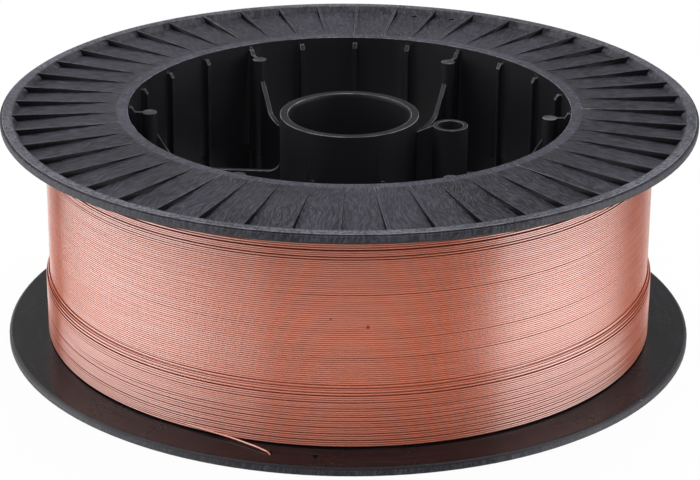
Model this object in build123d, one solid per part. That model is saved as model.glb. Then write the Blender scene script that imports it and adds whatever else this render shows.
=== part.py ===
from build123d import *
import math
import os

# Welding wire spool, 300 mm across: two black moulded halves pinned together at mid-depth,
# and a full winding of copper coated wire between the flanges. Millimetres.
# Z is the spool's axis. The spool lies on its lower flange, and the origin is on the floor
# below its centre. Each half is drawn with z = 0 at the joint and its outer face up.

# Overall
spool_width = 103.0
joint_fit = 0.15             # gap on each side of the tongue and of each pin

# Flange
flange_radius = 150.0
rim_height = 4.3             # the flange's full thickness
rim_land = 4.2               # width of the flat ring on top of the rim
rim_slope = 2.2              # width of the sloped inner side of the rim
rim_step_depth = 0.7         # small step round the rim's top outer corner
rim_step_width = 1.0
recess_depth = 2.8           # from the rim's top down to the floor beside it; none at the barrel
flange_rib_count = 48
flange_rib_width = 1.4

# Barrel
barrel_radius = 100.0
barrel_wall = 4.5
ring_land = 4.3              # width of the flat ring on the barrel's end
tongue_height = 2.5
tongue_thickness = 2.0
wall_rib_count = 24
wall_rib_depth = 2.8
wall_rib_slope = 2.2
wall_rib_width = 2.0
wall_rib_drop = 2.4          # from the outer face down to the rib's sloped top

# Hub
spindle_bore_radius = 26.0
hub_wall = 4.1
hub_drop = 4.0               # from the outer face down to the hub's end
hub_mouth = 0.7              # how much wider the bore's coned mouth is
hub_mouth_depth = 2.0

# Bosses with the joining pins
boss_count = 6
boss_inset = 9.0             # from the barrel's inner face in to a boss's centre
boss_diameter = 6.4
boss_sides = 16
boss_drop = 4.5
pin_width = 3.2              # the pins and their sockets are square
pin_length = 6.0
socket_spare_depth = 0.6

# Webs
web_thickness = 2.2
saddle_drop_boss = 13.8      # depth of the web's top beside its boss
saddle_flank = 8.4           # radial length of the steep flank
saddle_drop_flank = 27.7     # depth at the foot of the flank
saddle_toe = 5.8             # radial length of the gentler slope that follows
saddle_drop_toe = 30.0
saddle_drop_hub = 30.7
saddle_rounds = (5.0, 15.0, 5.0)
boss_web_thickness = 1.4
boss_web_drop = 1.0
boss_web_round = 1.8

# Drive hole
drive_circle_radius = 44.5
drive_angle = -11.25
drive_hole_radius = 5.5
drive_boss_wall = 2.0
drive_drop = 5.5
drive_tie_drop = 9.6         # depth at the hub of the web that ties the boss to it

# Wire
wire_diameter = 0.9
winding_depth = 32.8         # from the barrel out to the last layer
layer_step = 0.78            # what one layer of turns adds to the radius
open_layers = 2              # the last layers, which are unfinished
open_layers_height = 26.5    # they cover only this much above the lower flange
winding_fit = 0.15           # gap to the barrel and to each flange
wire_hole_diameter = 3.0
wire_hole_inset = 9.0        # from the flange's edge in to a hole's centre
wire_holes_upper = (71.25, 78.75)
wire_holes_lower = (258.75, 266.25)
tail_leaves_at = 241.0       # angle at which the tail leaves the winding
tail_height = 2.6            # height of that place above the lower flange's inner face
tail_bend = 254.0            # angle at which it turns towards its hole
tail_bend_height = 1.2
tail_bend_inset = 3.4        # from the holes' circle in to the bend
tail_end_clear = 1.6         # height of the cut end above the spool's outer face

# Worked out
half = spool_width / 2
inner_face = half - rim_height
wall_inner = barrel_radius - barrel_wall
hub_outer = spindle_bore_radius + hub_wall
boss_circle_radius = wall_inner - boss_inset
winding_radius = barrel_radius + winding_depth
wire_hole_radius = flange_radius - wire_hole_inset
tail_bend_radius = wire_hole_radius - tail_bend_inset
bite = 0.5                   # how far a rib or web runs into what carries it


def turned(outline):
    """A closed outline, drawn as radius and height, turned round the axis."""
    return revolve(Plane.XZ * make_face(outline), axis=Axis.Z)


def ring(inner, outer, low, high):
    """A plain square-edged ring round the axis."""
    return turned(Polyline((inner, low), (outer, low), (outer, high), (inner, high), close=True))


def upright_plate(outline, thickness, angle):
    """A closed outline, drawn as radius and height, as a plate standing at an angle."""
    plate = extrude(Plane.XZ * make_face(outline), amount=thickness / 2, both=True)
    return Rot(0, 0, angle) * plate


def post(radius, angle, diameter, low, high):
    """A round post on a circle about the axis."""
    x = radius * math.cos(math.radians(angle))
    y = radius * math.sin(math.radians(angle))
    align = (Align.CENTER, Align.CENTER, Align.MIN)
    return Pos(x, y, low) * Cylinder(diameter / 2, high - low, align=align)


def square_post(radius, angle, width, low, high):
    """A square post on a circle about the axis, one side facing the axis."""
    align = (Align.CENTER, Align.CENTER, Align.MIN)
    return Rot(0, 0, angle) * Pos(radius, 0, low) * Box(width, width, high - low, align=align)


def flange_and_barrel():
    """The rimmed flange with its coned floor, and the barrel down to the joint."""
    rim_outer = flange_radius - rim_step_width
    rim_inner = rim_outer - rim_land
    outline = Polyline(
        (wall_inner, 0),
        (wall_inner, half),
        (wall_inner + ring_land, half),
        (rim_inner - rim_slope, half - recess_depth),
        (rim_inner, half),
        (rim_outer, half),
        (rim_outer, half - rim_step_depth),
        (flange_radius, half - rim_step_depth),
        (flange_radius, inner_face),
        (barrel_radius, inner_face),
        (barrel_radius, 0),
        close=True,
    )
    return turned(outline)


def flange_ribs():
    """Straight ribs from the barrel's ring to the rim, level with both."""
    start = wall_inner + ring_land - bite
    end = flange_radius - rim_step_width - rim_land + bite
    low = half - recess_depth - bite
    align = (Align.MIN, Align.CENTER, Align.MAX)
    rib = Pos(start, 0, half) * Box(end - start, flange_rib_width, half - low, align=align)
    return [Rot(0, 0, i * 360 / flange_rib_count) * rib for i in range(flange_rib_count)]


def wall_ribs():
    """Upright ribs inside the barrel, with sloped tops."""
    face_radius = wall_inner - wall_rib_depth
    top = half - wall_rib_drop
    outline = Polyline(
        (wall_inner + bite, top),
        (wall_inner + bite, 0),
        (face_radius, 0),
        (face_radius, top - wall_rib_slope),
        (wall_inner - wall_rib_depth / 2, top),
        close=True,
    )
    step = 360 / wall_rib_count
    return [upright_plate(outline, wall_rib_width, i * step) for i in range(wall_rib_count)]


def hub():
    """The hub tube with its coned mouth."""
    top = half - hub_drop
    outline = Polyline(
        (spindle_bore_radius, 0),
        (hub_outer, 0),
        (hub_outer, top),
        (spindle_bore_radius + hub_mouth, top),
        (spindle_bore_radius, top - hub_mouth_depth),
        close=True,
    )
    return turned(outline)


def saddle_webs():
    """Six webs from the hub to the bosses, each with a hollow, saddle shaped top."""
    start = boss_circle_radius - boss_diameter / 2 + bite
    flank_end = start - saddle_flank
    toe_end = flank_end - saddle_toe
    hub_top = half - saddle_drop_hub + saddle_rounds[2] + bite
    top = FilletPolyline(
        (start, half - saddle_drop_boss),
        (flank_end, half - saddle_drop_flank),
        (toe_end, half - saddle_drop_toe),
        (hub_outer, half - saddle_drop_hub),
        (hub_outer, hub_top),
        radius=saddle_rounds,
    )
    base = Polyline(
        (hub_outer, hub_top),
        (hub_outer - bite, hub_top),
        (hub_outer - bite, 0),
        (start, 0),
        (start, half - saddle_drop_boss),
    )
    outline = top + base
    step = 360 / boss_count
    return [upright_plate(outline, web_thickness, i * step) for i in range(boss_count)]


def boss_webs():
    """Thin webs that join each boss to the barrel wall."""
    boss_top = half - boss_drop
    wall_top = half - boss_web_drop
    start = boss_circle_radius + boss_diameter / 2 - bite
    crest = wall_inner - boss_web_round
    outline = Polyline(
        (start, 0),
        (start, boss_top),
        (crest, boss_top),
        (wall_inner, wall_top),
        (wall_inner + bite, wall_top),
        (wall_inner + bite, 0),
        close=True,
    )
    step = 360 / boss_count
    return [upright_plate(outline, boss_web_thickness, i * step) for i in range(boss_count)]


def bosses():
    """Bosses from the joint up to just below the outer face, faceted but all but round."""
    section = RegularPolygon(boss_diameter / 2, boss_sides)
    boss = Pos(boss_circle_radius, 0, 0) * extrude(section, amount=half - boss_drop)
    return [Rot(0, 0, i * 360 / boss_count) * boss for i in range(boss_count)]


def drive_boss():
    """The boss round the drive hole, with the short web that ties it to the hub."""
    top = half - drive_drop
    outer = 2 * (drive_hole_radius + drive_boss_wall)
    tube = post(drive_circle_radius, drive_angle, outer, 0, top)
    start = hub_outer - bite
    end = drive_circle_radius - drive_hole_radius - bite
    outline = Polyline((start, 0), (end, 0), (end, top), (start, half - drive_tie_drop), close=True)
    return [tube, upright_plate(outline, web_thickness, drive_angle)]


def drive_hole():
    """What the drive hole takes away."""
    return post(drive_circle_radius, drive_angle, 2 * drive_hole_radius, -1, half)


def plain_half(wire_holes):
    """What both halves share, with the wire holes of this one."""
    body = flange_and_barrel()
    body = body + flange_ribs() + wall_ribs()
    body = body + hub() + bosses() + saddle_webs() + boss_webs() + drive_boss()
    body = body - drive_hole()
    for angle in wire_holes:
        body = body - post(wire_hole_radius, angle, wire_hole_diameter, inner_face - 1, half + 1)
    return body


def upper_half():
    """The half with the six pins and the groove for the other half's tongue."""
    groove_outer = wall_inner + tongue_thickness + joint_fit
    groove_height = tongue_height + joint_fit
    groove = ring(wall_inner - joint_fit, groove_outer, -1, groove_height)
    body = plain_half(wire_holes_upper) - groove
    step = 360 / boss_count
    return body + [
        square_post(boss_circle_radius, i * step, pin_width, -pin_length, bite)
        for i in range(boss_count)
    ]


def lower_half():
    """The half with the sockets and the tongue, turned over."""
    tongue = ring(wall_inner, wall_inner + tongue_thickness, -tongue_height, bite)
    body = plain_half(wire_holes_lower) + tongue
    socket = pin_width + 2 * joint_fit
    depth = pin_length + socket_spare_depth
    step = 360 / boss_count
    body = body - [
        square_post(boss_circle_radius, i * step, socket, -1, depth)
        for i in range(boss_count)
    ]
    return mirror(body, about=Plane.XY)


def winding():
    """The wire's turns as one ring round the barrel, stepped where the open layers end."""
    bore = barrel_radius + winding_fit
    low = -inner_face + winding_fit
    under = winding_radius - open_layers * layer_step
    step = -inner_face + open_layers_height
    outline = Polyline(
        (bore, low),
        (winding_radius, low),
        (winding_radius, step - open_layers * layer_step),
        (under, step),
        (under, -low),
        (bore, -low),
        close=True,
    )
    return turned(outline)


def tail():
    """The wire's end, from the winding's lowest turns down through its flange hole."""
    def at(radius, angle, z):
        x = radius * math.cos(math.radians(angle))
        y = radius * math.sin(math.radians(angle))
        return Vector(x, y, z)

    floor = -inner_face
    hole = wire_holes_lower[0]
    start = at(winding_radius - wire_diameter, tail_leaves_at, floor + tail_height)
    bend = at(tail_bend_radius, tail_bend, floor + tail_bend_height)
    mouth = at(wire_hole_radius, hole, floor + wire_diameter / 2)
    end = at(wire_hole_radius, hole, -half + tail_end_clear)
    route = Polyline(start, bend, mouth, end)
    section = Plane(origin=route @ 0, z_dir=route % 0) * Circle(wire_diameter / 2)
    return sweep(section, path=route, transition=Transition.RIGHT)


os.makedirs("parts", exist_ok=True)
lift = Pos(0, 0, half)
nodes = {
    "spool_half_upper": upper_half(),
    "spool_half_lower": lower_half(),
    "wire_winding": winding() + tail(),
}
for name, shape in nodes.items():
    export_step(lift * shape, f"parts/{name}.step")
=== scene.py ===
import math
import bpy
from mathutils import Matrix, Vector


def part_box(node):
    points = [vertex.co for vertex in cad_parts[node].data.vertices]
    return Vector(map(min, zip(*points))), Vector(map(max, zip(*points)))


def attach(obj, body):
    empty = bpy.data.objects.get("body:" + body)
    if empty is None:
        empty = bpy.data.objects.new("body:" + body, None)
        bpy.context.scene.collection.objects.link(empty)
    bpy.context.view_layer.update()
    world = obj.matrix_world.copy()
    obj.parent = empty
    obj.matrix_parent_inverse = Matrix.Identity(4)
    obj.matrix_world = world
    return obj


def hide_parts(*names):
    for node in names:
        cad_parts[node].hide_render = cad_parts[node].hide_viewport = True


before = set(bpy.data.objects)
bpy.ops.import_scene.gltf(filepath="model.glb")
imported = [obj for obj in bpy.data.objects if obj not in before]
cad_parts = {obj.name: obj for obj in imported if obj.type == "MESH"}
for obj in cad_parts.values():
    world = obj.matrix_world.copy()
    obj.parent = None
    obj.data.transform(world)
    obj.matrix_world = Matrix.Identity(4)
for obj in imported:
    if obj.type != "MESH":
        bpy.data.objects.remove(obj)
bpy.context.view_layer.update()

from types import SimpleNamespace

import bmesh
import bpy
from bpy.props import FloatProperty, FloatVectorProperty, IntProperty, PointerProperty
from mathutils import Matrix, Vector

bl_info = {
    "name": "Welding Wire Spool",
    "version": (1, 0, 0),
    "blender": (4, 5, 0),
    "location": "View3D > Sidebar > Wire Spool",
    "description": "Dresses a 300 mm welding wire spool: moulded halves, wound wire and studio",
    "category": "Object",
}

MM = 0.001

# The boxes straight after loading: everything below is placed from them.
WIRE_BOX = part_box("wire_winding")
LOWER_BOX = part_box("spool_half_lower")
UPPER_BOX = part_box("spool_half_upper")
SPOOL_WIDTH = UPPER_BOX[1][2] - LOWER_BOX[0][2]
HALF_WIDTH = SPOOL_WIDTH / 2.0
FLANGE_RADIUS = UPPER_BOX[1][0]
WIRE_RADIUS = WIRE_BOX[1][0]

# Sizes of the moulded halves inside their boxes. A depth is counted from mid-depth, where
# the two halves meet.
BARREL_RADIUS = 100.0 * MM
MOUTH_RADIUS = 95.7 * MM                      # inside of the flat ring at the barrel's mouth
RIM_INSIDE = FLANGE_RADIUS - 4.9 * MM         # inside of the rim's flat top
RIM_BACK_DEPTH = HALF_WIDTH - 4.3 * MM        # the rim's side at the wire
STEP_RADIUS = FLANGE_RADIUS - 0.9 * MM        # inside of the rim's stepped outer edge
STEP_DEPTH = RIM_BACK_DEPTH + 1.8 * MM
FLOOR_DEPTH = HALF_WIDTH - 2.9 * MM           # the floor between the flange's ribs
RIB_INNER_RADIUS = BARREL_RADIUS + 4.5 * MM
RIB_OUTER_RADIUS = FLANGE_RADIUS - 4.4 * MM
BOSS_INNER_RADIUS = 75.0 * MM
BOSS_OUTER_RADIUS = 95.0 * MM
BOSS_DEPTH = 46.0 * MM                        # the bosses' ends lie beyond it
JOINT_DEPTH = 15.0 * MM                       # the joint's edges lie within it
MIDDLE_RADIUS = (BARREL_RADIUS + FLANGE_RADIUS) / 2.0


class Field:
    """A node socket that takes part in arithmetic; each operation adds its Math node."""

    def __init__(self, tree, socket):
        self.tree = tree
        self.socket = socket

    def math(self, operation, *others):
        """An operation of the Math node with this socket on its left."""
        node = self.tree.nodes.new("ShaderNodeMath")
        node.operation = operation
        for slot, item in enumerate((self,) + others):
            plug(self.tree, item, node.inputs[slot])
        return Field(self.tree, node.outputs[0])

    def reflected(self, operation, left):
        """The operation with this socket on its right."""
        node = self.tree.nodes.new("ShaderNodeMath")
        node.operation = operation
        plug(self.tree, left, node.inputs[0])
        plug(self.tree, self, node.inputs[1])
        return Field(self.tree, node.outputs[0])

    def __add__(self, other):
        return self.math("ADD", other)

    __radd__ = __add__

    def __sub__(self, other):
        return self.math("SUBTRACT", other)

    def __rsub__(self, other):
        return self.reflected("SUBTRACT", other)

    def __mul__(self, other):
        return self.math("MULTIPLY", other)

    __rmul__ = __mul__

    def __truediv__(self, other):
        return self.math("DIVIDE", other)

    def __neg__(self):
        return self.math("MULTIPLY", -1.0)

    def clamp(self, low=0.0, high=1.0):
        """The value kept between two limits."""
        return self.math("MAXIMUM", low).math("MINIMUM", high)

    def band(self, low, high):
        """0 below low, 1 above high, smooth between."""
        share = ((self - low) / (high - low)).clamp()
        return share * share * (3.0 - 2.0 * share)

    def past(self, size, start, end):
        """0 below a size and 1 above it, changing from start to end millimetres beyond it."""
        return self.band(size + start * MM, size + end * MM)


def plug(tree, item, socket):
    """Links a field or a socket, or sets a plain value."""
    if isinstance(item, Field):
        tree.links.new(item.socket, socket)
    elif isinstance(item, bpy.types.NodeSocket):
        tree.links.new(item, socket)
    else:
        socket.default_value = item


class Nodes:
    """Adds nodes to one tree."""

    def __init__(self, tree):
        self.tree = tree
        tree.nodes.clear()

    def add(self, kind, settings=None, inputs=None, output=0):
        """One node: its type, its settings, then the values or links of its sockets."""
        node = self.tree.nodes.new(kind)
        for name, value in (settings or {}).items():
            if name == "stops":
                set_stops(node.color_ramp, value)
            else:
                setattr(node, name, value)
        for key, value in (inputs or {}).items():
            plug(self.tree, value, node.inputs[key])
        return Field(self.tree, node.outputs[output]) if node.outputs else node

    def mix(self, factor, low, high):
        """A colour between two colours."""
        settings = {"data_type": "RGBA", "clamp_factor": True}
        return self.add("ShaderNodeMix", settings, {0: factor, 6: low, 7: high}, output=2)

    def xyz(self, vector):
        """The three parts of a vector."""
        node = self.tree.nodes.new("ShaderNodeSeparateXYZ")
        plug(self.tree, vector, node.inputs[0])
        return [Field(self.tree, out) for out in node.outputs]

    def vector(self, x, y, z):
        """A vector from its three parts."""
        return self.add("ShaderNodeCombineXYZ", None, {0: x, 1: y, 2: z})

    def attribute(self, name):
        """A number that the mesh stores."""
        return self.add("ShaderNodeAttribute", {"attribute_name": name}, output=2)

    def noise(self, vector, scale, detail=2.0, roughness=0.5, distortion=0.0):
        """Smooth noise from 0 to 1, with as many cells in a metre as the scale says."""
        inputs = {
            "Vector": vector,
            "Scale": scale,
            "Detail": detail,
            "Roughness": roughness,
            "Distortion": distortion,
        }
        return self.add("ShaderNodeTexNoise", {"noise_dimensions": "3D"}, inputs)

    def bump(self, height, strength, distance):
        """A surface tilted by a height, which counts for a distance in metres."""
        inputs = {"Strength": strength, "Distance": distance, "Height": height}
        return self.add("ShaderNodeBump", None, inputs)


def set_stops(ramp, stops):
    """Colour stops as (place, colour)."""
    while len(ramp.elements) < len(stops):
        ramp.elements.new(1.0)
    for element, (place, colour) in zip(ramp.elements, stops):
        element.position = place
        element.color = colour


def opaque(colour):
    """A colour property with full alpha."""
    return (colour[0], colour[1], colour[2], 1.0)


def new_material(name):
    """A material with an empty tree, its nodes and its output socket."""
    material = bpy.data.materials.new(name)
    material.use_nodes = True
    nodes = Nodes(material.node_tree)
    output = material.node_tree.nodes.new("ShaderNodeOutputMaterial")
    return material, nodes, output.inputs["Surface"]


class PlasticSettings(bpy.types.PropertyGroup):
    """The black moulded halves."""

    colour: FloatVectorProperty(
        name="Plastic Colour",
        description="Colour of the plastic between its flow marks",
        subtype="COLOR",
        default=(0.007, 0.007, 0.009),
        min=0.0,
        max=1.0,
    )
    # Colour of the pale flow marks; the flat tops of the rim and rings take it too, as a painted
    # highlight.
    streak_and_sheen: FloatVectorProperty(
        name="Flow Mark Colour",
        description="Colour of the pale swirls left where the plastic flowed",
        subtype="COLOR",
        default=(0.084, 0.081, 0.110),
        min=0.0,
        max=1.0,
    )
    # Colour of the rounded edges and the rim land: partly scuffs, partly a painted highlight.
    worn_highlight: FloatVectorProperty(
        name="Worn Edge Colour",
        description="Colour of the scuffed edges",
        subtype="COLOR",
        default=(0.20, 0.20, 0.225),
        min=0.0,
        max=1.0,
    )
    edge: FloatProperty(
        name="Edge Rounding",
        description="Rounding of the moulded edges",
        default=0.25 * MM,
        min=0.0,
        subtype="DISTANCE",
        unit="LENGTH",
    )
    rim_edge: FloatProperty(
        name="Rim Rounding",
        description="Rounding of a flange's inner outermost edge",
        default=1.5 * MM,
        min=0.0,
        subtype="DISTANCE",
        unit="LENGTH",
    )


class WireSettings(bpy.types.PropertyGroup):
    """The wound wire."""

    colour: FloatVectorProperty(
        name="Copper Colour",
        description="Colour of the copper coating",
        subtype="COLOR",
        default=(0.92, 0.285, 0.17),
        min=0.0,
        max=1.0,
    )
    # Painted shade: the colour painted deep between turns and on the layers below, standing in for
    # the shade there.
    shade: FloatVectorProperty(
        name="Groove Colour",
        description="Colour of the copper deep between two turns",
        subtype="COLOR",
        default=(0.36, 0.06, 0.032),
        min=0.0,
        max=1.0,
    )
    diameter: FloatProperty(
        name="Wire Diameter",
        description="Diameter of the wire",
        default=0.88 * MM,
        min=0.1 * MM,
        subtype="DISTANCE",
        unit="LENGTH",
    )
    pitch: FloatProperty(
        name="Pitch",
        description="Height that one turn takes",
        default=0.9 * MM,
        min=0.1 * MM,
        subtype="DISTANCE",
        unit="LENGTH",
    )
    layer: FloatProperty(
        name="Layer Step",
        description="Radius that one layer of turns adds",
        default=0.78 * MM,
        min=0.1 * MM,
        subtype="DISTANCE",
        unit="LENGTH",
    )
    last_layer: FloatProperty(
        name="Last Layer Height",
        description="Height of the unfinished last layer above the lower flange",
        default=25.5 * MM,
        min=0.0,
        subtype="DISTANCE",
        unit="LENGTH",
    )
    segments: IntProperty(
        name="Segments",
        description="Straight pieces in one turn",
        default=200,
        min=12,
    )


class StageSettings(bpy.types.PropertyGroup):
    """The camera and the studio."""

    distance: FloatProperty(
        name="Camera Distance",
        description="Distance from the middle of the spool to the camera",
        default=1.1478,
        min=0.2,
        subtype="DISTANCE",
        unit="LENGTH",
    )
    elevation: FloatProperty(
        name="Camera Elevation",
        description="Angle of the camera above the spool's middle",
        default=math.radians(21.646),
        subtype="ANGLE",
        unit="ROTATION",
    )
    bearing: FloatProperty(
        name="Camera Bearing",
        description="Angle of the camera round the spool, from its front towards its right",
        default=math.radians(1.4),
        subtype="ANGLE",
        unit="ROTATION",
    )
    pitch: FloatProperty(
        name="Camera Pitch",
        description="Tilt of the view below the spool's middle",
        default=math.radians(-0.534),
        subtype="ANGLE",
        unit="ROTATION",
    )
    pan: FloatProperty(
        name="Camera Pan",
        description="Turn of the view to the left of the spool's middle",
        default=math.radians(-0.028),
        subtype="ANGLE",
        unit="ROTATION",
    )
    roll: FloatProperty(
        name="Camera Roll",
        description="Turn of the picture about the line of sight",
        default=math.radians(-0.339),
        subtype="ANGLE",
        unit="ROTATION",
    )
    lens: FloatProperty(
        name="Focal Length",
        description="Focal length on a sensor 36 mm wide",
        default=134.41,
        min=10.0,
        subtype="DISTANCE_CAMERA",
    )


DUST_COLOUR = (0.32, 0.32, 0.34, 1.0)


def plastic_zones(radius, depth, level):
    """Masks for the parts of a moulded half, from a place's radius and depth."""
    outside = depth.past(FLOOR_DEPTH, -0.5, 0.0) * radius.past(MOUTH_RADIUS, 0.0, 0.4) * level
    ribbed = radius.past(BARREL_RADIUS, 0.0, 0.5) * (1.0 - radius.past(RIM_INSIDE, -0.5, 0.3))
    lands = depth.past(HALF_WIDTH, -0.16, -0.04) * (1.0 - ribbed)
    band = radius.past(FLANGE_RADIUS, -1.2, -0.6)
    return SimpleNamespace(
        outside=outside,
        lands=lands,
        rim_land=lands * radius.past(RIM_INSIDE, -0.1, 0.5),
        band=band,
        wire_side=radius.past(BARREL_RADIUS, 0.0, 1.0) * (1.0 - outside) * (1.0 - band),
        # the rib flanks, which are given painted shade below
        rib_sides=ribbed * (1.0 - level),
    )


def plastic_material(settings):
    """Black recycled plastic: dull gloss, brushed flow marks, pale edges that are partly scuffs and
    partly painted highlight, painted highlight on the flat tops, painted shade on the rib flanks,
    and specks.
    """
    material, nodes, surface = new_material("moulded_plastic")
    place = nodes.add("ShaderNodeTexCoord", output=3)
    x, y, z = nodes.xyz(place)
    radius = (x * x + y * y).math("SQRT")
    bearing = y.math("ARCTAN2", x)
    level = nodes.attribute("level_face")
    worn_highlight = nodes.attribute("worn_edge")
    zone = plastic_zones(radius, (z - HALF_WIDTH).math("ABSOLUTE"), level)

    patches = nodes.noise(place, 14.0, detail=3.0, roughness=0.6).band(0.38, 0.64)
    bend = nodes.noise(place, 38.0, detail=1.0)
    fine = nodes.noise(place, 900.0, detail=3.0, roughness=0.7)
    smudges = nodes.noise(place, 60.0, detail=5.0, roughness=0.7, distortion=1.0)
    specks = nodes.noise(place, 900.0, detail=1.0)
    around = bearing * MIDDLE_RADIUS + bend * 0.016
    brushed = nodes.vector(around * 2000.0, radius * 210.0, z * 400.0)
    strokes = nodes.noise(brushed, 1.0, detail=2.0).band(0.44, 0.62)
    rubbed = nodes.vector(bearing * 5.0, radius * 420.0, z * 60.0)
    scuffs = nodes.noise(rubbed, 1.0, detail=3.0).band(0.5, 0.75)

    # Painted shade on the flanks: the pale flow marks and smudges are kept to level faces, so the
    # rib flanks stay darker.
    pale = zone.outside * (0.02 + 0.42 * strokes + 0.14 * patches)
    pale = pale + smudges.band(0.5, 0.8) * level * 0.12
    pale = pale + zone.band * (0.02 + 0.16 * fine.band(0.45, 0.65))
    pale = pale + zone.wire_side * scuffs * 0.16
    # Painted highlight: the flat tops of the rim and of the rings are painted paler.
    pale = (pale + zone.lands * (0.12 + 0.5 * fine.band(0.45, 0.6))).clamp()
    colour = nodes.mix(pale, opaque(settings.colour), opaque(settings.streak_and_sheen))
    # Painted highlight, partly real scuffs: the rounded edges and the rim land are mixed towards
    # the pale edge colour.
    wear_and_highlight = worn_highlight * (0.25 + 0.75 * smudges.band(0.42, 0.6))
    wear_and_highlight = (wear_and_highlight + zone.rim_land * fine.band(0.36, 0.64) * (0.3 + 0.4 * patches)).clamp()
    colour = nodes.mix(wear_and_highlight, colour, opaque(settings.worn_highlight))
    dust = specks.band(0.75, 0.81) * (zone.outside + zone.band).clamp() * 0.6
    colour = nodes.mix(dust, colour, DUST_COLOUR)

    rough = (0.38 + 0.14 * fine + 0.1 * patches - 0.23 * zone.wire_side).clamp()
    height = strokes * zone.outside * 0.5 + smudges * 0.6
    height = height + fine * (1.0 - 0.7 * zone.wire_side) * 0.4
    gloss = nodes.add("ShaderNodeBsdfPrincipled", None, {
        "Base Color": colour,
        "Roughness": rough,
        "Normal": nodes.bump(height, 0.3, 0.3 * MM),
        "Specular IOR Level": 0.5,
    })
    # Painted shade: the rib flanks are mixed towards a dark matt shader, so they come out darker.
    flank_shade_bsdf = nodes.add("ShaderNodeBsdfDiffuse", None, {"Color": opaque(settings.colour)})
    flank_shade_share = zone.rib_sides * (1.0 - worn_highlight).clamp() * 0.8
    shader = nodes.add("ShaderNodeMixShader", None, {0: flank_shade_share, 1: gloss, 2: flank_shade_bsdf})
    plug(nodes.tree, shader, surface)
    return material


# Dark spots on the wire: angle from the front towards the right in degrees, height above
# the floor and size in millimetres.
WIRE_MARKS = (
    (4.8, 56.4, 1.0),
    (-1.6, 59.8, 0.6),
)

# What is left of red, green and blue where the copper is tarnished.
TARNISH = (0.88, 0.80, 0.76)

# Below this height the winding is painted a little darker: painted shade towards the bottom.
LOWER_SHADE_HEIGHT = 24.0 * MM


def wire_spots(x, y, z):
    """1 on the dark spots of the wire."""
    bearing = x.math("ARCTAN2", -y)
    spots = 0.0
    for angle, height, size in WIRE_MARKS:
        across = (bearing - math.radians(angle)) * WIRE_RADIUS
        up = z - height * MM
        away = (across * across + up * up).math("SQRT")
        spots = (1.0 - away.band(0.5 * size * MM, size * MM)) + spots
    return spots


def copper_material(settings):
    """Drawn copper coated wire: a soft metal shine, painted shade between turns and towards the
    bottom, with small marks.
    """
    material, nodes, surface = new_material("copper_coated_wire")
    place = nodes.add("ShaderNodeTexCoord", output=3)
    x, y, z = nodes.xyz(place)
    turn = nodes.noise(nodes.vector(x * 12.0, y * 12.0, z * 900.0), 1.0, detail=2.0)
    patch = nodes.noise(place, 16.0, detail=3.0)
    grain = nodes.noise(place, 1600.0, detail=2.0)
    radius = (x * x + y * y).math("SQRT")
    depth = ((WIRE_RADIUS - radius) / settings.layer + 0.04).math("FRACT")
    wound = 1.0 - radius.past(WIRE_RADIUS, 0.05, 0.1)
    # Painted shade: copper deep between two turns is darkened towards the groove colour and loses
    # its coat.
    groove = depth.band(0.16, 0.44) * wound
    spots = wire_spots(x, y, z)
    # Painted shade: darker towards the bottom of the winding.
    lower_shade = (1.0 - z.past(LOWER_SHADE_HEIGHT, 0.0, 5.0)) * 0.16

    base = opaque(settings.colour)
    dull = opaque([level * left for level, left in zip(base, TARNISH)])
    tarnish = (turn.band(0.35, 0.75) * 0.5 + patch.band(0.4, 0.7) * 0.35).clamp()
    colour = nodes.mix(tarnish, base, dull)
    colour = nodes.mix((groove + lower_shade + spots).clamp(), colour, opaque(settings.shade))
    coat = ((1.0 - groove) * (0.78 + 0.22 * turn.band(0.42, 0.58)) - spots).clamp()
    shader = nodes.add("ShaderNodeBsdfPrincipled", None, {
        "Base Color": colour,
        "Roughness": (0.30 + 0.08 * turn + 0.06 * grain).clamp(),
        "Normal": nodes.bump(grain, 0.12, 0.04 * MM),
        "Metallic": 0.15,
        "Specular IOR Level": 0.0,
        "Coat Weight": coat,
        "Coat Roughness": 0.06,
        "Coat IOR": 3.3,
    })
    plug(nodes.tree, shader, surface)
    return material


def under_material(settings):
    """The copper of the layers below, painted in the groove colour as painted shade; it shows only
    as dark lines between turns.
    """
    material, nodes, surface = new_material("copper_in_shade")
    shader = nodes.add(
        "ShaderNodeBsdfPrincipled",
        None,
        {"Base Color": opaque(settings.shade), "Roughness": 0.7, "Specular IOR Level": 0.0},
    )
    plug(nodes.tree, shader, surface)
    return material


def finish_piece(obj, replaced=None):
    """Puts a piece on the spool: its body, and hides the CAD part that it stands for."""
    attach(obj, "root")
    if replaced:
        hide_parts(replaced)


def baked_mesh(obj, name):
    """The evaluated shape of an object as a plain mesh."""
    graph = bpy.context.evaluated_depsgraph_get()
    mesh = bpy.data.meshes.new_from_object(obj.evaluated_get(graph))
    mesh.name = name
    return mesh


SHARP = math.radians(32.0)       # edges sharper than this are rounded
FLAT = math.radians(0.4)         # triangles that meet flatter than this become one face
MERGE_DISTANCE = 0.002 * MM
EDGE_SEGMENTS = 2
RIM_SEGMENTS = 4
ROUNDED_SLOT = 1                 # material slot of the rounded faces until they are marked

# How pale the rounded edges of each part are painted: partly scuffs, partly a painted highlight.
WEAR_AND_HIGHLIGHT = 1.0
SLIGHT_WEAR_AND_HIGHLIGHT = 0.35
BOSS_WEAR_AND_HIGHLIGHT = 0.4


def radius_of(place):
    """Distance from the spool's axis."""
    return math.hypot(place.x, place.y)


def depth_of(place):
    """Distance from mid-depth, where the halves meet."""
    return abs(place.z - HALF_WIDTH)


def linked_object(name, data):
    """A new object in the scene."""
    obj = bpy.data.objects.new(name, data)
    bpy.context.scene.collection.objects.link(obj)
    return obj


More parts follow.
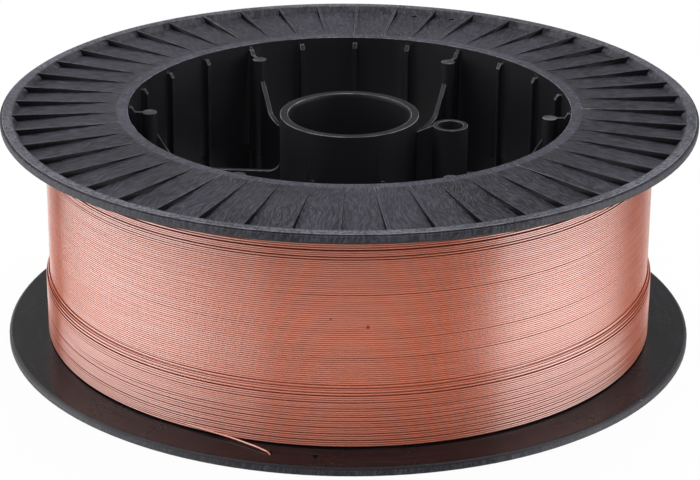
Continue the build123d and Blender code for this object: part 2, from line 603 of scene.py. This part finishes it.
def in_wire_hole(edge):
    """True for an edge of a small hole through a flange, on the winding's side."""
    return all(
        BARREL_RADIUS + MM < radius_of(end.co) < FLANGE_RADIUS - 2.0 * MM
        and depth_of(end.co) < RIM_BACK_DEPTH + MM
        for end in edge.verts
    )


def on_flange_back(edge):
    """True for an edge round a flange's outermost corner on the winding's side."""
    return all(
        radius_of(end.co) > FLANGE_RADIUS - 0.1 * MM
        and abs(depth_of(end.co) - RIM_BACK_DEPTH) < 0.1 * MM
        for end in edge.verts
    )


def merged_copy(node, rim_edge):
    """A CAD node's mesh with its faces merged, its rim rounded and its sharp edges weighted."""
    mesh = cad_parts[node].data.copy()
    work = bmesh.new()
    work.from_mesh(mesh)
    bmesh.ops.remove_doubles(work, verts=work.verts, dist=MERGE_DISTANCE)
    bmesh.ops.dissolve_limit(work, angle_limit=FLAT, verts=work.verts, edges=work.edges)
    sharp = [edge for edge in work.edges if edge.calc_face_angle(0.0) > SHARP]
    bmesh.ops.bevel(
        work,
        geom=[edge for edge in sharp if on_flange_back(edge)],
        offset=rim_edge,
        segments=RIM_SEGMENTS,
        profile=0.5,
        affect="EDGES",
        material=ROUNDED_SLOT,
    )
    weight = work.edges.layers.float.new("bevel_weight_edge")
    for edge in work.edges:
        if edge.calc_face_angle(0.0) > SHARP:
            edge.smooth = edge.is_convex and not in_wire_hole(edge)
            edge[weight] = float(edge.smooth)
    work.to_mesh(mesh)
    work.free()
    return mesh


def edge_wear_and_highlight(face):
    """How pale a face is painted, partly scuffs and partly painted highlight: the rounded edges
    that hands and floors rub, and the boss ends.
    """
    radius = radius_of(face.center)
    depth = depth_of(face.center)
    outer_step = radius > STEP_RADIUS and depth > STEP_DEPTH
    joint = depth < JOINT_DEPTH
    flange_rib = RIB_INNER_RADIUS < radius < RIB_OUTER_RADIUS
    rim_round = radius > FLANGE_RADIUS - 1.6 * MM and depth < RIM_BACK_DEPTH + 1.6 * MM
    rounded = face.material_index == ROUNDED_SLOT and abs(face.normal.z) > 0.2
    if rounded and not (outer_step or joint):
        return SLIGHT_WEAR_AND_HIGHLIGHT if flange_rib or rim_round else WEAR_AND_HIGHLIGHT
    on_boss = BOSS_INNER_RADIUS < radius < BOSS_OUTER_RADIUS and depth > BOSS_DEPTH
    return BOSS_WEAR_AND_HIGHLIGHT if on_boss and abs(face.normal.z) > 0.9 else 0.0


def lies_level(face):
    """True for a face that lies level or is part of the flange's outermost band."""
    return radius_of(face.center) > FLANGE_RADIUS - 1.1 * MM or abs(face.normal.z) > 0.4


def mark_faces(mesh):
    """Stores how pale each face's rounded edges are painted, partly scuffs and partly painted
    highlight, and whether it lies level (level_face).
    """
    for name, value in (("level_face", lies_level), ("worn_edge", edge_wear_and_highlight)):
        marks = mesh.attributes.new(name, "FLOAT", "FACE")
        for face, mark in zip(mesh.polygons, marks.data):
            mark.value = float(value(face))
    for face in mesh.polygons:
        face.material_index = 0
    mesh.materials.clear()


def rounded_copy(node, edge, rim_edge, name):
    """A CAD node's shape with rounded edges and marked faces, as a piece of its own."""
    mesh = merged_copy(node, rim_edge)
    mesh.materials.clear()
    while len(mesh.materials) <= ROUNDED_SLOT:
        mesh.materials.append(None)
    mesh.shade_smooth()
    obj = linked_object(name, mesh)
    bevel = obj.modifiers.new("edges", "BEVEL")
    bevel.width = edge
    bevel.segments = EDGE_SEGMENTS
    bevel.limit_method = "WEIGHT"
    bevel.use_clamp_overlap = False
    bevel.material = ROUNDED_SLOT
    weighted = obj.modifiers.new("shading", "WEIGHTED_NORMAL")
    weighted.keep_sharp = True
    obj.data = baked_mesh(obj, name)
    obj.modifiers.clear()
    bpy.data.meshes.remove(mesh)
    mark_faces(obj.data)
    return obj


# Each CAD half and the piece that stands for it.
HALVES = (
    ("spool_half_lower", "moulded_half_lower"),
    ("spool_half_upper", "moulded_half_upper"),
)


class SPOOL_OT_halves(bpy.types.Operator):
    """Dress the two moulded halves of the spool"""

    bl_idname = "spool.halves"
    bl_label = "Moulded Halves"

    def execute(self, context):
        settings = context.scene.spool_plastic
        material = plastic_material(settings)
        for node, name in HALVES:
            obj = rounded_copy(node, settings.edge, settings.rim_edge, name)
            obj.data.materials.append(material)
            finish_piece(obj, node)
        return {"FINISHED"}


FLANGE = 4.45 * MM               # a flange's thickness and the gap to the first turn
CORE_BORE = 100.15 * MM
CORE_SEGMENTS = 128
WIRE_SIDES = 8
LAYERS_OF_TURNS = 3              # layers that are wound turn by turn, on the layers below
FULL_LAYER_PIECES = 3            # pieces that the full layer is wound in
OPEN_LAYER_SHORT = 2.0 * MM      # how much lower the last layer ends than the one below it
LAST_TURNS_GAP = 0.42 * MM       # room between the last two turns of an unfinished layer

# The two unfinished layers: name and how far the last turns tilt, in millimetres.
OPEN_LAYERS = (
    ("wire_open_layer", 3.4),
    ("wire_last_layer", 2.2),
)

# One groove of the layers below: share of the pitch and depth in millimetres.
GROOVE = (
    (0.04, 0.20),
    (0.27, 0.05),
    (0.50, 0.00),
    (0.73, 0.05),
    (0.96, 0.20),
)

# The wire's end, from inside the lowest turns to its hole in the lower flange: radius,
# angle and height above the floor.
WIRE_END = (
    (131.9, 238.0, 6.4),
    (132.5, 243.0, 6.0),
    (133.0, 246.6, 5.7),
    (134.1, 250.8, 5.35),
    (136.6, 254.4, 5.15),
    (139.6, 257.4, 4.9),
    (140.9, 258.6, 4.1),
    (141.0, 258.75, 1.6),
)

# Inputs of the winding's node tree: name, socket type and default.
TURN_INPUTS = (
    ("Radius", "NodeSocketFloat", 0.1),
    ("Start Height", "NodeSocketFloat", 0.0),
    ("First Turn", "NodeSocketFloat", 0.0),
    ("Turns", "NodeSocketFloat", 10.0),
    ("Pitch", "NodeSocketFloat", 0.001),
    ("Wire Diameter", "NodeSocketFloat", 0.001),
    ("Segments", "NodeSocketInt", 200),
    ("Sides", "NodeSocketInt", 8),
    ("Wander", "NodeSocketFloat", 0.0),
    ("Top Tilt", "NodeSocketFloat", 0.0),
    ("Tilted Turns", "NodeSocketFloat", 1.0),
    ("Last Gap", "NodeSocketFloat", 0.0),
    ("Seed", "NodeSocketFloat", 0.0),
    ("Material", "NodeSocketMaterial", None),
)

# Places where the turns lie apart: height above the floor, width, front angle and its reach,
# in millimetres and degrees, the angle counted from the front towards the right.
OPEN_TURNS = (
    (89.0, 0.62, 2.0, 62.0),
    (85.7, 0.66, -4.0, 70.0),
    (82.9, 0.42, -52.0, 22.0),
    (69.9, 0.20, 24.0, 30.0),
    (55.9, 0.14, -40.0, 20.0),
    (50.9, 0.20, 34.0, 26.0),
    (43.2, 0.28, 28.0, 30.0),
)
OPEN_TURNS_LAST = (
    (24.2, 0.36, -20.0, 34.0),
    (21.0, 0.40, 30.0, 44.0),
    (18.1, 0.44, 4.0, 60.0),
    (15.6, 0.52, -26.0, 66.0),
    (12.9, 0.46, 22.0, 60.0),
    (10.1, 0.52, -8.0, 80.0),
    (7.6, 0.46, 34.0, 60.0),
)

GAP_HEIGHT = 0.45 * MM           # how near a gap the turns are pushed fully apart
GAP_FADE = 9.0                   # how many such heights the push takes to fade
GAP_END = 0.12                   # softness of a gap's two ends
WAVE = 1.3                       # radius that the turns' unevenness is read at, in cells
WAVE_RISE = 0.31                 # and how far it moves on from one turn to the next


def gap_push(level, angle, gap):
    """How far one gap pushes a place of the wire up or down."""
    height, width, front, reach = gap
    side = (level - height * MM) / GAP_HEIGHT
    push = side.clamp(-1.0, 1.0) * (-(side.math("ABSOLUTE") / GAP_FADE)).math("EXPONENT")
    turned = (angle + math.radians(90.0 - front)).math("COSINE")
    reached = math.cos(math.radians(reach))
    return push * turned.band(reached - GAP_END, reached + GAP_END) * (0.5 * width * MM)


def loose_turns(left, gap):
    """The last turn and the one before it each lie a gap above the turn below."""
    soft = 0.1
    last = ((1.0 + soft - left) / soft).clamp()
    before = ((2.0 + soft - left) / soft).clamp()
    return (last + before) * gap


def turns_tree(name, gaps):
    """A node tree that winds one layer of wire: turns, uneven gaps and a tilted last stretch."""
    tree = bpy.data.node_groups.new(name, "GeometryNodeTree")
    nodes = Nodes(tree)
    for label, kind, default in TURN_INPUTS:
        socket = tree.interface.new_socket(label, in_out="INPUT", socket_type=kind)
        if default is not None:
            socket.default_value = default
    tree.interface.new_socket("Geometry", in_out="OUTPUT", socket_type="NodeSocketGeometry")
    entry = tree.nodes.new("NodeGroupInput")
    given = {label: Field(tree, entry.outputs[label]) for label, _, _ in TURN_INPUTS}
    index = nodes.add("GeometryNodeInputIndex")
    turn = index / given["Segments"] + given["First Turn"]
    angle = turn * math.tau
    level = given["Start Height"] + given["Pitch"] * turn
    wave = nodes.vector(
        angle.math("COSINE") * WAVE + given["Seed"],
        angle.math("SINE") * WAVE,
        turn * WAVE_RISE,
    )
    shift = (nodes.noise(wave, 1.0, detail=3.0, roughness=0.65) - 0.5) * given["Wander"]
    for gap in gaps:
        shift = shift + gap_push(level, angle, gap)
    left = given["First Turn"] + given["Turns"] - turn
    lean = (1.0 - left / given["Tilted Turns"]).clamp()
    tilt = lean * lean * given["Top Tilt"] * (1.0 + angle.math("SINE"))
    tilt = tilt + loose_turns(left, given["Last Gap"])
    bulge = (nodes.noise(wave, 2.3, detail=1.0) - 0.5) * given["Wander"] * 0.3
    radius = given["Radius"] + bulge
    place = nodes.vector(
        radius * angle.math("COSINE"),
        radius * angle.math("SINE"),
        level + shift + tilt,
    )
    count = (given["Segments"] * given["Turns"]).math("ROUND") + 1.0
    line = nodes.add("GeometryNodeMeshLine", {"mode": "OFFSET"}, {"Count": count})
    curve = nodes.add("GeometryNodeMeshToCurve", None, {"Mesh": line})
    wound = nodes.add("GeometryNodeSetPosition", None, {"Geometry": curve, "Position": place})
    section = nodes.add(
        "GeometryNodeCurvePrimitiveCircle",
        {"mode": "RADIUS"},
        {"Resolution": given["Sides"], "Radius": given["Wire Diameter"] / 2.0},
    )
    tube = nodes.add(
        "GeometryNodeCurveToMesh",
        None,
        {"Curve": wound, "Profile Curve": section, "Fill Caps": True},
    )
    smooth = nodes.add("GeometryNodeSetShadeSmooth", None, {0: tube, "Shade Smooth": True})
    whole = nodes.add("GeometryNodeRealizeInstances", None, {0: smooth})
    coated = nodes.add(
        "GeometryNodeSetMaterial",
        None,
        {"Geometry": whole, "Material": given["Material"]},
    )
    leave = tree.nodes.new("NodeGroupOutput")
    plug(tree, coated, leave.inputs[0])
    return tree


def wind(name, tree, values):
    """Runs the winding's tree and keeps its result as a plain mesh."""
    obj = linked_object(name, bpy.data.meshes.new(name + "_seed"))
    modifier = obj.modifiers.new("turns", "NODES")
    modifier.node_group = tree
    for item in tree.interface.items_tree:
        if item.in_out == "INPUT" and item.name in values:
            modifier[item.identifier] = values[item.name]
    obj.update_tag()
    seed = obj.data
    obj.data = baked_mesh(obj, name)
    obj.modifiers.clear()
    bpy.data.meshes.remove(seed)
    if not obj.data.polygons:
        raise RuntimeError(f"{name}: no turns were wound")
    return obj


def grooved_core(name, outer, low, high, pitch):
    """The layers below: a closed ring with its bore, grooved where the turns lie."""
    count = int((high - low) / pitch)
    step = (high - low) / count
    rows = [(CORE_BORE, low)]
    for number in range(count):
        for share, depth in GROOVE:
            rows.append((outer - depth * MM, low + (number + share) * step))
    rows.append((CORE_BORE, high))
    turns = [math.tau * number / CORE_SEGMENTS for number in range(CORE_SEGMENTS)]
    around = [(math.cos(turn), math.sin(turn)) for turn in turns]
    work = bmesh.new()
    loops = [
        [work.verts.new((radius * x, radius * y, height)) for x, y in around]
        for radius, height in rows
    ]
    for lower, upper in zip(loops, loops[1:] + loops[:1]):
        for number in range(CORE_SEGMENTS):
            after = (number + 1) % CORE_SEGMENTS
            work.faces.new((lower[number], lower[after], upper[after], upper[number]))
    bmesh.ops.recalc_face_normals(work, faces=work.faces)
    mesh = bpy.data.meshes.new(name)
    work.to_mesh(mesh)
    work.free()
    mesh.shade_smooth()
    return linked_object(name, mesh)


def wire_end(name, wire, places):
    """The wire's free end as a smooth round tube through a few places."""
    curve = bpy.data.curves.new(name, "CURVE")
    curve.dimensions = "3D"
    curve.resolution_u = 6
    curve.bevel_depth = wire / 2.0
    curve.bevel_resolution = 2
    curve.use_fill_caps = True
    spline = curve.splines.new("BEZIER")
    spline.bezier_points.add(len(places) - 1)
    for point, place in zip(spline.bezier_points, places):
        point.co = place
        point.handle_left_type = "AUTO"
        point.handle_right_type = "AUTO"
    route = linked_object(name + "_route", curve)
    bpy.context.view_layer.update()
    mesh = baked_mesh(route, name)
    bpy.data.objects.remove(route)
    return linked_object(name, mesh)


def on_spool(radius, angle, height):
    """A place from its radius and height in millimetres and its angle in degrees."""
    turn = math.radians(angle)
    return Vector((radius * math.cos(turn), radius * math.sin(turn), height)) * MM


class SPOOL_OT_winding(bpy.types.Operator):
    """Wind the wire between the flanges, with its loose end"""

    bl_idname = "spool.winding"
    bl_label = "Wound Wire"

    def execute(self, context):
        settings = context.scene.spool_wire
        material = copper_material(settings)
        low = LOWER_BOX[0][2] + FLANGE
        high = UPPER_BOX[1][2] - FLANGE
        wire = settings.diameter
        turn_radius = WIRE_RADIUS - wire / 2.0

        def finished(obj, replaced=None):
            obj.data.materials.clear()
            obj.data.materials.append(material)
            finish_piece(obj, replaced)

        core_radius = WIRE_RADIUS - LAYERS_OF_TURNS * settings.layer
        core = grooved_core("wire_under_layers", core_radius, low, high, settings.pitch)
        finished(core, "wire_winding")
        core.data.materials[0] = under_material(settings)
        base = {
            "Start Height": low + wire / 2.0,
            "Pitch": settings.pitch,
            "Wire Diameter": wire,
            "Segments": settings.segments,
            "Sides": WIRE_SIDES,
            "Material": material,
        }
        full_tree = turns_tree("full_layer", OPEN_TURNS)
        turns = (high - low - wire) / settings.pitch
        turns_each = math.ceil(turns / FULL_LAYER_PIECES)
        for number in range(FULL_LAYER_PIECES):
            first = number * turns_each
            values = {
                "Radius": turn_radius - len(OPEN_LAYERS) * settings.layer,
                "First Turn": float(first),
                "Turns": min(turns_each, turns - first),
                "Wander": 0.16 * MM,
                "Tilted Turns": 1.0,
            }
            finished(wind(f"wire_layer_{number + 1}", full_tree, base | values))
        open_tree = turns_tree("open_layers", OPEN_TURNS_LAST)
        for number, (name, tilt) in enumerate(OPEN_LAYERS):
            height = settings.last_layer - number * OPEN_LAYER_SHORT
            values = {
                "Radius": turn_radius - (len(OPEN_LAYERS) - 1 - number) * settings.layer,
                "Turns": height / settings.pitch,
                "Wander": 0.3 * MM,
                "Seed": 4.0 + number,
                "Top Tilt": tilt * MM,
                "Tilted Turns": 5.0,
                "Last Gap": LAST_TURNS_GAP,
            }
            finished(wind(name, open_tree, base | values))
        places = [on_spool(*place) for place in WIRE_END]
        finished(wire_end("wire_end", wire, places))
        return {"FINISHED"}


# Brightness of the studio wall in reflections, by the angle round the spool from its front
# towards its right, in degrees: dark round the camera, a large soft box on each side with a
# dim gap behind it.
WALL_LIGHT = (
    (-180.0, 0.30), (-158.0, 0.85), (-150.0, 1.50), (-144.5, 1.10),
    (-139.0, 0.55), (-131.0, 0.10), (-128.0, 0.20), (-126.0, 0.90),
    (-124.0, 1.30), (-118.0, 1.70), (-106.0, 1.98), (-86.0, 1.90),
    (-70.0, 1.60), (-54.0, 1.00), (-44.0, 0.64), (-34.0, 0.56),
    (-26.0, 0.18), (-14.0, 0.21), (46.0, 0.03), (53.0, 0.05),
    (55.5, 0.42), (60.0, 1.20), (66.0, 1.56), (76.0, 1.92),
    (92.0, 2.15), (103.0, 1.95), (112.0, 1.52), (122.0, 0.45),
    (130.0, 0.12), (138.0, 0.28), (146.0, 0.90), (180.0, 0.30),
)
BACK_DIM = 0.5                   # what the wall behind the spool loses above the horizon
WALL_RADIUS = 3.0
WALL_LOW = -6.0                  # below the floor, for reflections that look down
WALL_HIGH = 8.0
WALL_SIDES = 64
WHITE = (1.0, 1.0, 1.0, 1.0)


def wall_glow(nodes):
    """The studio wall's brightness, from a place's bearing round the spool and its height."""
    x, y, z = nodes.xyz(nodes.add("ShaderNodeTexCoord", output=3))
    bearing = x.math("ARCTAN2", -y) / math.tau + 0.5
    stops = [(angle / 360.0 + 0.5, (level, level, level, 1.0)) for angle, level in WALL_LIGHT]
    glow = nodes.add("ShaderNodeValToRGB", {"stops": stops}, {0: bearing})
    behind = (bearing - 0.5).math("ABSOLUTE").band(0.40, 0.44) * z.band(0.25, 0.5)
    return glow * (1.0 - BACK_DIM * behind)


def studio_wall():
    """A round wall that only reflections show."""
    material, nodes, surface = new_material("studio_wall")
    inputs = {"Color": WHITE, "Strength": wall_glow(nodes)}
    plug(nodes.tree, nodes.add("ShaderNodeEmission", None, inputs), surface)
    corners = []
    for height in (WALL_LOW, WALL_HIGH):
        for number in range(WALL_SIDES):
            turn = math.tau * number / WALL_SIDES
            corners.append((WALL_RADIUS * math.cos(turn), WALL_RADIUS * math.sin(turn), height))
    faces = []
    for number in range(WALL_SIDES):
        after = (number + 1) % WALL_SIDES
        faces.append((number, after, after + WALL_SIDES, number + WALL_SIDES))
    mesh = bpy.data.meshes.new("studio_wall")
    mesh.from_pydata(corners, [], faces)
    mesh.materials.append(material)
    wall = linked_object("studio_wall", mesh)
    wall.visible_camera = False
    wall.visible_diffuse = False
    wall.visible_transmission = False
    wall.visible_shadow = False


FLOOR_REACH = 20.0
FLOOR_GLOW = 0.96                # share of the floor's plain white; the rest takes the shadow


def floor_material():
    """A white floor that keeps a soft shadow."""
    material, nodes, surface = new_material("white_floor")
    seen = nodes.add("ShaderNodeLightPath", output=0)
    mirrored = nodes.add("ShaderNodeLightPath", output=3)
    diffuse = nodes.add("ShaderNodeBsdfDiffuse", None, {"Color": (0.9, 0.9, 0.9, 1.0)})
    glow = nodes.add("ShaderNodeEmission", None, {"Color": WHITE, "Strength": 1.0})
    share = (seen + mirrored).clamp() * FLOOR_GLOW
    shader = nodes.add("ShaderNodeMixShader", None, {0: share, 1: diffuse, 2: glow})
    plug(nodes.tree, shader, surface)
    return material


def studio_floor():
    """The white floor that the spool lies on."""
    level = LOWER_BOX[0][2]
    signs = ((-1.0, -1.0), (1.0, -1.0), (1.0, 1.0), (-1.0, 1.0))
    corners = [(x * FLOOR_REACH, y * FLOOR_REACH, level) for x, y in signs]
    mesh = bpy.data.meshes.new("floor")
    mesh.from_pydata(corners, [], [(0, 1, 2, 3)])
    mesh.materials.append(floor_material())
    floor = linked_object("floor", mesh)
    floor.visible_glossy = False


WORLD_LIGHT = 0.34               # the world's strength as a light; the camera sees it at 1


def studio_world(scene):
    """White for the camera and in reflections, softer as a light."""
    world = bpy.data.worlds.new("studio")
    scene.world = world
    world.use_nodes = True
    nodes = Nodes(world.node_tree)
    seen = nodes.add("ShaderNodeLightPath", output=0)
    mirrored = nodes.add("ShaderNodeLightPath", output=3)
    through = nodes.add("ShaderNodeLightPath", output=6)
    share = (seen + mirrored + through).clamp()
    strength = WORLD_LIGHT + share * (1.0 - WORLD_LIGHT)
    glow = nodes.add("ShaderNodeBackground", None, {"Color": WHITE, "Strength": strength})
    output = world.node_tree.nodes.new("ShaderNodeOutputWorld")
    plug(world.node_tree, glow, output.inputs["Surface"])


# Soft lamps: name, angle round the spool from its front towards its right and angle above
# the floor in degrees, distance, width and height in metres, and power in watts.
LAMPS = (
    ("left_lamp", -92.0, 35.0, 1.6, 1.4, 1.2, 3.5),
    ("right_lamp", 80.0, 35.0, 1.6, 1.4, 1.2, 1.5),
    ("front_lamp", 5.0, 48.0, 1.8, 1.6, 1.2, 12.5),
    ("top_lamp", 172.0, 62.0, 1.8, 1.2, 0.8, 22.0),
)


def studio_lamp(name, bearing, elevation, distance, width, height, watts, target):
    """A rectangular soft lamp aimed at the spool."""
    light = bpy.data.lights.new(name, "AREA")
    light.shape = "RECTANGLE"
    light.size = width
    light.size_y = height
    light.energy = watts
    turn = math.radians(bearing)
    rise = math.radians(elevation)
    flat = distance * math.cos(rise)
    place = Vector((flat * math.sin(turn), -flat * math.cos(turn), distance * math.sin(rise)))
    obj = linked_object(name, light)
    obj.location = target + place
    obj.rotation_euler = (-place).to_track_quat("-Z", "Y").to_euler()
    obj.visible_glossy = False


def place_camera(scene, settings, target):
    """The camera at the photograph's viewing angle."""
    camera = bpy.data.cameras.new("camera")
    camera.lens = settings.lens
    camera.sensor_width = 36.0
    camera.sensor_fit = "HORIZONTAL"
    camera.clip_end = 100.0
    obj = linked_object("camera", camera)
    rise = settings.elevation
    forward = Vector((0.0, math.cos(rise), -math.sin(rise)))
    right = Vector((1.0, 0.0, 0.0))
    up = right.cross(forward)
    tip = Matrix.Rotation(settings.pitch, 3, right)
    forward, up = tip @ forward, tip @ up
    swing = Matrix.Rotation(settings.pan, 3, up)
    forward, right = swing @ forward, swing @ right
    lean = Matrix.Rotation(settings.roll, 3, forward)
    right, up = lean @ right, lean @ up
    axes = Matrix((right, up, -forward)).transposed()
    place = Vector((0.0, -settings.distance * math.cos(rise), settings.distance * math.sin(rise)))
    turn = Matrix.Rotation(settings.bearing, 4, "Z")
    obj.matrix_world = Matrix.Translation(target) @ turn @ Matrix.Translation(place) @ axes.to_4x4()
    scene.camera = obj


class SPOOL_OT_stage(bpy.types.Operator):
    """Set up the floor, the studio light and the camera"""

    bl_idname = "spool.stage"
    bl_label = "Studio"

    def execute(self, context):
        scene = context.scene
        settings = scene.spool_stage
        scene.view_settings.view_transform = "Standard"
        middle = Vector((0.0, 0.0, HALF_WIDTH))
        place_camera(scene, settings, middle)
        studio_world(scene)
        studio_floor()
        studio_wall()
        for lamp in LAMPS:
            studio_lamp(*lamp, middle)
        return {"FINISHED"}


class SPOOL_PT_panel(bpy.types.Panel):
    """Sizes and colours of the spool, with a button for each group of pieces"""

    bl_idname = "SPOOL_PT_panel"
    bl_label = "Wire Spool"
    bl_space_type = "VIEW_3D"
    bl_region_type = "UI"
    bl_category = "Wire Spool"

    def draw(self, context):
        scene = context.scene
        for group in ("spool_plastic", "spool_wire", "spool_stage"):
            settings = getattr(scene, group)
            box = self.layout.box()
            for name in settings.__annotations__:
                box.prop(settings, name)
        for operator in (SPOOL_OT_halves, SPOOL_OT_winding, SPOOL_OT_stage):
            self.layout.operator(operator.bl_idname)


CLASSES = (
    PlasticSettings,
    WireSettings,
    StageSettings,
    SPOOL_OT_halves,
    SPOOL_OT_winding,
    SPOOL_OT_stage,
    SPOOL_PT_panel,
)


def register():
    for cls in CLASSES:
        bpy.utils.register_class(cls)
    bpy.types.Scene.spool_plastic = PointerProperty(type=PlasticSettings)
    bpy.types.Scene.spool_wire = PointerProperty(type=WireSettings)
    bpy.types.Scene.spool_stage = PointerProperty(type=StageSettings)


def unregister():
    del bpy.types.Scene.spool_stage
    del bpy.types.Scene.spool_wire
    del bpy.types.Scene.spool_plastic
    for cls in reversed(CLASSES):
        bpy.utils.unregister_class(cls)


def main():
    """Registers the classes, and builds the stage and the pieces."""
    register()
    bpy.ops.spool.stage()
    bpy.ops.spool.halves()
    bpy.ops.spool.winding()


if __name__ == "__main__":
    main()
